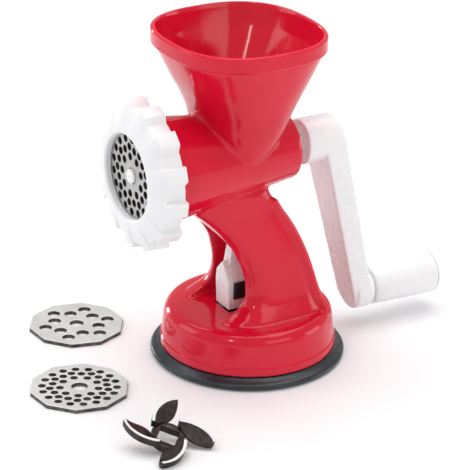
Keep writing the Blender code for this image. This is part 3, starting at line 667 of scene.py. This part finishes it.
# count, radius on even and odd holes, first angle
fineRings = ((9, 12.3, 12.3, 20.0), (18, 17.3, 18.6, 0.0), (18, 23.6, 23.6, 10.0))
coarseRings = ((6, 15.0, 15.0, 12.5), (6, 21.2, 21.2, 42.7))


def makePlate(name, rings, holeRadius, centreRadius, body, node, matrix, outlineTurn=0.0, steel=plateSteel):
    curve = bpy.data.curves.new(name, "CURVE")
    curve.dimensions = "2D"
    curve.fill_mode = "BOTH"
    edge = plate["edge"]
    curve.extrude = (plate["thick"] / 2 - edge) * mm
    curve.bevel_depth = edge * mm
    curve.bevel_resolution = 1

    def loop(count, radius, centre=(0, 0), start=0.0):
        spline = curve.splines.new("POLY")
        spline.points.add(count - 1)
        for k, point in enumerate(spline.points):
            a = math.radians(start) + math.tau * k / count
            x, y = centre[0] + radius * math.cos(a), centre[1] + radius * math.sin(a)
            point.co = (x * mm, y * mm, 0, 1)
        spline.use_cyclic_u = True

    loop(plate["sides"], plate["flats"] / 2 / math.cos(math.pi / plate["sides"]) - edge, start=outlineTurn)
    loop(48, centreRadius + edge)
    for count, even, odd, start in rings:
        for k in range(count):
            a = math.radians(start) + math.tau * k / count
            radius = odd if k % 2 else even
            loop(28, holeRadius + edge, (radius * math.cos(a), radius * math.sin(a)))
    holder = bpy.data.objects.new(name, curve)
    bpy.context.scene.collection.objects.link(holder)
    bpy.context.view_layer.update()
    graph = bpy.context.evaluated_depsgraph_get()
    flat = bpy.data.meshes.new_from_object(holder.evaluated_get(graph))
    bpy.data.objects.remove(holder, do_unlink=True)
    bm = bmesh.new()
    bm.from_mesh(flat)
    bpy.data.meshes.remove(flat)
    bmesh.ops.translate(bm, vec=(0, 0, plate["thick"] / 2 * mm), verts=bm.verts)
    bmesh.ops.transform(bm, matrix=matrix, verts=bm.verts)
    piece = finishMesh(cleanUp(bm), name, steel, sharp=15.0)
    # sides and hole walls get the very dark steel, painted shade inside the holes
    piece.data.materials.append(paintedShadeSteel)
    axis = (matrix.to_3x3() @ Vector((0, 0, 1))).normalized()
    for face in piece.data.polygons:
        face.material_index = 0 if abs(face.normal.dot(axis)) > 0.5 else 1
    return settle(piece, body, "plate_steel", node)


def lyingAt(x, y, turn):
    return Matrix.Translation(Vector((x, y, 0)) * mm) @ Matrix.Rotation(math.radians(turn), 4, "Z")


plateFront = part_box("fine_plate")[0].y
mounted = Matrix.Translation((0, plateFront, barrelZ * mm)) @ Matrix.Rotation(math.radians(-90), 4, "X")
# the fitted plate takes the darker copy of the steel, painted shade
makePlate("finePlate", fineRings, 2.45, 5.2, "outlet_plate", "fine_plate", mounted, steel=fittedSteelPaintedShade)
makePlate("spareFinePlate", fineRings, 2.45, 5.2, "loose_fine_plate", "spare_fine_plate",
          lyingAt(0.4, -122.8, 149.0))
makePlate("spareCoarsePlate", coarseRings, 4.15, 4.7, "loose_coarse_plate", "spare_coarse_plate",
          lyingAt(-80.4, -83.6, 156.0), outlineTurn=-9.0)
print("plates done")


# ---- knives

knife = {"hole": 12.0, "hub": 10.4, "rim": 4.8, "boss": 4.4, "strip": 1.9, "under": -0.3}
# along one blade: leading edge radius and angle, then the back edge's radius and angle
bladeShape = (
    (12.3, 33.0, 9.0, 20.0), (13.6, 24.0, 9.4, 2.0), (15.4, 15.0, 10.2, -16.0), (17.4, 6.0, 11.6, -30.0),
    (19.8, -3.0, 14.2, -38.0), (22.2, -11.5, 17.6, -41.0), (24.4, -19.0, 21.0, -41.5),
    (26.5, -27.0, 24.2, -40.8), (28.4, -34.8, 27.2, -39.3),
)


def makeBlade(turn):
    # a small grid whose rows run along the blade: leading edge, back of the ground strip, back edge
    rows = len(bladeShape)
    bm = bmesh.new()
    bmesh.ops.create_grid(bm, x_segments=rows - 1, y_segments=3, size=1.0)
    for corner in bm.verts:
        row = int(round((corner.co.x + 1) / 2 * (rows - 1)))
        lane = int(round((corner.co.y + 1) / 2 * 3))
        leadR, leadA, backR, backA = bladeShape[row]
        lead = Vector((leadR * math.cos(math.radians(leadA)), leadR * math.sin(math.radians(leadA)), 0))
        back = Vector((backR * math.cos(math.radians(backA)), backR * math.sin(math.radians(backA)), 0))
        across = back - lead
        strip = min(knife["strip"] / max(across.length, 0.1), 0.75)
        share = (0.0, strip, strip + (1 - strip) * 0.3, 1.0)[lane]
        drop = (0.0, 0.0, 2.0, 3.6)[lane] * min(1.0, across.length / 8.0)
        corner.co = (lead + across * share + Vector((0, 0, knife["rim"] - drop))) * mm
    grown = bmesh.ops.extrude_face_region(bm, geom=bm.faces[:])["geom"]
    for part in grown:
        if isinstance(part, bmesh.types.BMVert):
            part.co.z = knife["under"] * mm
            part.co.xy *= 0.985
    bmesh.ops.rotate(bm, cent=(0, 0, 0), matrix=Matrix.Rotation(math.radians(turn), 3, "Z"), verts=bm.verts)
    return cleanUp(bm)


def makeKnife(name, body, node, matrix, onFloor=False):
    piece = finishMesh(rod(knife["hub"], -knife["boss"], 0.4, 72), name, castSteel)
    for k in range(4):
        combine(piece, makeBlade(90.0 * k), "UNION")
    combine(piece, rod(9.2, 0.15, 12.0, 64))
    combine(piece, rod(knife["hole"] / math.sqrt(2), -20, 20, 4))
    roundEdges(piece, 0.18, 2, 35.0)
    mesh = piece.data
    mesh.materials.append(groundSteel)
    for face in mesh.polygons:
        if face.normal.z > 0.97 and face.center.z > (knife["rim"] - 0.25) * mm:
            face.material_index = 1
    mesh.transform(matrix)
    if onFloor:
        lowest = min(corner.co.z for corner in mesh.vertices)
        mesh.transform(Matrix.Translation((0, 0, -lowest)))
    return settle(piece, body, "knife_steel", node)


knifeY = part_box("knife")[0].y / mm + knife["rim"]
makeKnife("knifeFitted", "crank", "knife",
          Matrix.Translation(Vector((0, knifeY, barrelZ)) * mm) @ Matrix.Rotation(math.radians(90), 4, "X"))
tilt = Vector([math.radians(a) for a in (-17.3, 14.0, -88.8)])
lyingKnife = Matrix.Translation(Vector((91.0, -109.7, 0)) * mm)
makeKnife("spareKnife", "loose_knife", "spare_knife",
          lyingKnife @ Matrix.Rotation(tilt.length, 4, tilt.normalized()), onFloor=True)
print("knives done")


# ---- feed screw

auger = {
    "front": -71.0, "rear": 17.0, "turns": 3.6, "coreFront": -72.0,
    # radii, then the width of the square tail
    "core": 9.5, "shaft": 9.2, "flange": 13.3, "pin": 4.7, "tail": 11.2,
    # half section of the flight: share of its reach, and height
    "flight": ((0.25, -2.4), (1, -1.2), (1, 1.2), (0.25, 2.4)),
    "flightRoot": 7.0, "clearance": 1.1,
}


def makeAuger():
    wallY = housing["rear"] - housing["rearWall"]
    body = turned([
        (0, 30.0), (auger["shaft"] - 0.5, 28.5), (auger["shaft"], 28.0), (auger["shaft"], wallY - 2),
        (auger["flange"], wallY - 2.2), (auger["flange"], auger["rear"]),
        (auger["core"], auger["rear"] - 3), (auger["core"], auger["coreFront"]),
        (auger["pin"], auger["coreFront"]), (auger["pin"], -86.3),
        (4.2, -86.9), (2.4, -87.1), (0, -87.1)], 72)
    piece = finishMesh(body, "feedScrew", crankPlastic)
    combine(piece, rod(8.1, -81.8, -70.0, 4), "UNION")
    half = auger["tail"] / 2
    combine(piece, box((-half, -half, 25.0), (half, half, 50.0)), "UNION")
    combine(piece, rod(2.6, 36.0, 52.0, 32))
    # the flight: a slim profile spun round and along at once, then drawn in to the taper
    flight = bmesh.new()
    corners = [flight.verts.new((reach, 0, z * mm)) for reach, z in auger["flight"]]
    face = bmesh.ops.contextual_create(flight, geom=corners)["faces"]
    length = auger["rear"] - auger["front"] - 5.0
    steps = int(auger["turns"] * 48)
    bmesh.ops.spin(flight, geom=corners + face + flight.edges[:], cent=(0, 0, 0), axis=(0, 0, 1),
                   dvec=(0, 0, length * mm / steps), angle=math.tau * auger["turns"], steps=steps,
                   use_merge=False, use_duplicate=False)
    for corner in flight.verts:
        y = corner.co.z / mm + auger["front"] + 2.6
        share = max(0.0, (y - housing["boreTaper"]) / (wallY - housing["boreTaper"]))
        outer = housing["boreFront"] + (housing["boreRear"] - housing["boreFront"]) * share
        flat = corner.co.xy.length
        radius = outer - auger["clearance"] if flat > 0.5 else auger["flightRoot"]
        corner.co.xy *= radius * mm / flat
        corner.co.z = y * mm
    bmesh.ops.recalc_face_normals(flight, faces=flight.faces)
    combine(piece, flight, "UNION", "EXACT")
    onAxis = Matrix.Translation((0, 0, barrelZ * mm)) @ Matrix.Rotation(math.radians(-90), 4, "X")
    piece.data.transform(onAxis)
    roundEdges(piece, 0.3, 2, 40.0)
    return settle(piece, "crank", "white_plastic", "auger")


makeAuger()
print("feed screw done")


# ---- crank

crank = {
    "hubFront": 34.6,
    "hubBack": 58.0,
    "hubRadius": 15.0,
    "endRadius": 11.4,
    "bossRadius": 13.2,
    "endFace": 91.0,
    "inner": (46.2, 75.0),
    "outer": (62.6, 89.8),
    "channel": 3.2,
    "socket": 11.2,
}


def armShape(inset, innerShift, outerShift, top, bottom, count=72):
    span = barrelZ - handleZ
    lean = math.asin((crank["hubRadius"] - crank["endRadius"]) / span)

    def place(angle, level):
        upper = math.sin(angle) >= 0
        radius = (crank["hubRadius"] if upper else crank["endRadius"]) - inset
        z = (top if upper else bottom) + radius * math.sin(angle)
        x = radius * math.cos(angle)
        (atTop, atBottom), shift = ((crank["inner"], innerShift), (crank["outer"], outerShift))[level]
        return x, atTop + (atBottom - atTop) * (barrelZ - z) / span + shift, z

    return tube(2, count, place)


def makeCrank():
    body = armShape(0, 0, 0, barrelZ, handleZ)
    radius, back, front = crank["hubRadius"], crank["hubBack"], crank["hubFront"]
    hub = layAlongY(turned([
        (0, back), (radius - 3, back), (radius, back - 3), (radius, front), (0, front)], 96))
    boss = layAlongY(rod(crank["bossRadius"], crank["endFace"] - 12.5, crank["endFace"], 72), z=handleZ)
    piece = finishMesh(body, "crankArm", crankPlastic)
    combine(piece, hub, "UNION", "EXACT")
    combine(piece, boss, "UNION", "EXACT")
    combine(piece, armShape(crank["channel"], -8.0, -3.6, barrelZ - 33, handleZ + 22), "DIFFERENCE", "EXACT")
    combine(piece, box((-30, crank["endFace"], 0), (30, crank["endFace"] + 20, 50)))
    softSkin(piece, 0.62, 22)
    half = crank["socket"] / 2 + 0.15
    combine(piece, box((-half, 30.0, barrelZ - half), (half, 50.6, barrelZ + half)))
    combine(piece, layAlongY(rod(3.0, 45.0, 70.0, 32)))
    combine(piece, layAlongY(rod(8.4, 56.0, 70.0, 64)))
    combine(piece, layAlongY(rod(4.1, 80.0, 100.0, 40), z=handleZ))
    return settle(piece, "crank", "white_plastic", "crank_arm")


makeCrank()


def makeTurnedPiece(name, profile, material, body, slot, node, z=None, edge=0.25, steps=96):
    piece = finishMesh(layAlongY(turned(profile, steps), z=z), name, material)
    if edge:
        roundEdges(piece, edge, 3, 25.0)
    return settle(piece, body, slot, node)


grip = {"start": 93.1, "end": 146.0, "radius": 13.1, "endRadius": 14.4, "bore": 4.3, "recess": 136.0}


def makeGrip():
    start, end = grip["start"], grip["end"]
    small, large = grip["radius"], grip["endRadius"]
    bore, recess = grip["bore"], grip["recess"]
    makeTurnedPiece("handleGrip", [
        (9.0, end - 5.0), (large - 0.2, end - 5.0), (large, end - 5.4), (large, end - 9.0),
        (small + 0.6, start + 15.0), (small, start + 1.4), (small - 0.5, start + 0.4), (small - 1.4, start),
        (bore, start), (bore, recess), (9.0, recess)],
        crankPlastic, "grip", "white_plastic", "handle_grip", handleZ)
    dome = [(0.0, end)]
    for k in range(1, 9):
        a = math.radians(k * 10)
        dome.append((large * math.sin(a), end - 4.6 + 4.6 * math.cos(a)))
    plug = [(large - 0.05, end - 4.7), (8.7, end - 4.7), (8.7, recess + 3.4), (0, recess + 3.4)]
    makeTurnedPiece("handleCap", dome + plug, crankPlastic, "grip", "white_plastic", "handle_cap",
                    handleZ, 0.12)
    low, high = crank["endFace"] + 0.3, start - 0.3
    makeTurnedPiece("handleWasher", [(bore, high), (10.4, high), (10.4, low), (bore, low)],
                    nutPlastic, "crank", "white_plastic", "handle_washer", handleZ)


makeGrip()


def makeCrankScrew():
    piece = finishMesh(layAlongY(turned([
        (0, 60.0), (4.5, 59.9), (6.4, 59.4), (7.4, 58.5), (7.6, 57.6), (7.6, 56.3), (2.4, 56.3), (2.4, 38.0),
        (0, 38.0)], 72)), "crankScrew", groundSteel)
    combine(piece, box((-9, 58.9, barrelZ - 0.7), (9, 62, barrelZ + 0.7)))
    roundEdges(piece, 0.15, 2, 40.0)
    return settle(piece, "crank", "zinc_steel", "crank_screw")


makeCrankScrew()
print("crank done")


# ---- suction lever and its pin

lever = {
    "half": 8.0, "bottom": 34.9, "top": 68.6, "front": -19.2, "rear": -4.7, "fork": 3.6, "tabHalf": 3.8,
    # side outline of the thumb tab, as y and z
    "tab": ((-17.0, 64.0), (-11.6, 64.0), (-9.4, 83.0), (-11.0, 86.0), (-13.4, 84.4)),
}


def slab(side, half):
    # a side outline in y and z, as thick as the lever or its tab
    bm = bmesh.new()
    corners = [bm.verts.new((-half * mm, y * mm, z * mm)) for y, z in side]
    face = bmesh.ops.contextual_create(bm, geom=corners)["faces"]
    grown = bmesh.ops.extrude_face_region(bm, geom=face)["geom"]
    moved = [part for part in grown if isinstance(part, bmesh.types.BMVert)]
    bmesh.ops.translate(bm, vec=(2 * half * mm, 0, 0), verts=moved)
    return bm


def makeLever():
    half, bottom, top = lever["half"], lever["bottom"], lever["top"]
    front, rear = lever["front"], lever["rear"]
    side = ((front, bottom), (rear - 3.5, bottom), (rear, bottom + 3.3), (rear + 0.2, 60.0),
            (rear - 2.2, top), (front - 0.4, top), (front - 1.4, 66.0))
    bm = slab(side, half)
    # both top corners are pared away, the near one more
    for sign, x, z, lean in ((1, 8.4, 52.0, 24.0), (-1, -8.6, 50.0, 14.0), (-1, -5.8, 60.0, 44.0)):
        normal = Vector((sign * math.cos(math.radians(lean)), 0, math.sin(math.radians(lean))))
        cut = bmesh.ops.bisect_plane(bm, geom=bm.verts[:] + bm.edges[:] + bm.faces[:],
                                     plane_co=Vector((x, 0, z)) * mm, plane_no=normal, clear_outer=True)
        rim = [part for part in cut["geom_cut"] if isinstance(part, bmesh.types.BMEdge)]
        bmesh.ops.holes_fill(bm, edges=rim, sides=0)
    piece = finishMesh(cleanUp(bm), "suctionLever", crankPlastic)
    combine(piece, cleanUp(slab(lever["tab"], lever["tabHalf"])), "UNION", "EXACT")
    roundEdges(piece, 0.8, 4, 20.0)
    fork = lever["fork"]
    combine(piece, box((-fork, front + 1.4, 30.0), (fork, 0.0, 55.0)))
    combine(piece, layAlongX(rod(2.9, -14.0, 14.0, 40)))
    return settle(piece, "lever", "white_plastic", "suction_lever")


makeLever()


def makePin():
    piece = finishMesh(layAlongX(rod(2.6, -12.0, 8.5, 40)), "leverPin", blackPlastic)
    head = box((8.3, pivot.y - 4.6, pivot.z - 5.6), (9.9, pivot.y + 4.6, pivot.z + 5.6))
    combine(piece, head, "UNION", "EXACT")
    roundEdges(piece, 0.3, 2, 40.0)
    return settle(piece, "lever", "black_plastic", "lever_pin")


makePin()

# small hidden hardware keeps its own solid
for node, material in (("cup_stem", blackPlastic), ("lever_pin_clip", groundSteel),
                       ("thrust_washer", groundSteel), ("handle_axle", groundSteel)):
    frame["nodes"][node].data.materials.clear()
    frame["nodes"][node].data.materials.append(material)
print("lever done")


# ---- floor, lights and camera

studio = {
    "floor": (0.93, 0.93, 0.94),
    "worldStrength": 0.5,
    # name, where it stands, size, watts, colour
    "lights": (
        ("topBox", (-0.25, 0.1, 1.6), (1.9, 1.5), 21.0, (1.0, 1.0, 1.0)),
        ("leftBox", (-0.9, -1.5, 0.75), (0.9, 1.2), 6.5, (0.98, 0.99, 1.0)),
        ("rightBox", (1.7, 0.35, 0.75), (1.1, 0.9), 5.0, (1.0, 0.98, 0.96)),
        ("stripBox", (0.95, -1.35, 1.25), (0.12, 0.5), 3.0, (1.0, 1.0, 1.0)),
        ("sideStrip", (-1.9, -0.35, 0.25), (0.25, 0.5), 5.0, (1.0, 1.0, 1.0)),
        ("rimBox", (0.75, 1.55, 0.3), (0.8, 0.6), 3.5, (1.0, 1.0, 1.0)),
    ),
}


def makeStudio():
    bm = bmesh.new()
    bmesh.ops.create_circle(bm, cap_ends=True, radius=6.0, segments=96)
    material, tree, shader = newMaterial("paleFloor", studio["floor"], 0.55)
    tint(tree, shader, spread(tree, noiseOver(tree, 2.0), 0.0, 1.0), (0.92, 0.92, 0.93), studio["floor"])
    floor = finishMesh(bm, "floor", material)
    world = bpy.data.worlds.new("studioWorld")
    world.use_nodes = True
    background = world.node_tree.nodes["Background"]
    background.inputs["Color"].default_value = (1, 1, 1, 1)
    background.inputs["Strength"].default_value = studio["worldStrength"]
    bpy.context.scene.world = world
    aim = Vector((0, -0.02, 0.1))
    for name, where, size, watts, colour in studio["lights"]:
        light = bpy.data.lights.new(name, "AREA")
        light.shape = "RECTANGLE"
        light.size, light.size_y = size
        light.energy = watts
        light.color = colour
        holder = bpy.data.objects.new(name, light)
        holder.visible_camera = False
        holder.location = where
        holder.rotation_euler = (aim - Vector(where)).to_track_quat("-Z", "Y").to_euler()
        bpy.context.scene.collection.objects.link(holder)


makeStudio()

view = {
    "azimuth": 58.96,
    "elevation": 24.01,
    "roll": 1.11,
    "distance": 1.43663,
    "target": (0.03631, -0.03266, 0.10161),
    "lens": 178.48,
}


def makeCamera():
    a, e, r = (math.radians(view[key]) for key in ("azimuth", "elevation", "roll"))
    back = Vector((math.sin(a) * math.cos(e), -math.cos(a) * math.cos(e), math.sin(e)))
    right = Vector((math.cos(a), math.sin(a), 0))
    up = back.cross(right)
    across = math.cos(r) * right + math.sin(r) * up
    upright = math.cos(r) * up - math.sin(r) * right
    lens = bpy.data.cameras.new("camera")
    lens.lens = view["lens"]
    lens.sensor_width = 36.0
    lens.clip_start = 0.01
    camera = bpy.data.objects.new("camera", lens)
    turn = Matrix((across, upright, back)).transposed().to_4x4()
    camera.matrix_world = Matrix.Translation(Vector(view["target"]) + back * view["distance"]) @ turn
    bpy.context.scene.collection.objects.link(camera)
    bpy.context.scene.camera = camera


makeCamera()
bpy.context.scene.view_settings.view_transform = "Standard"
print("studio ready")
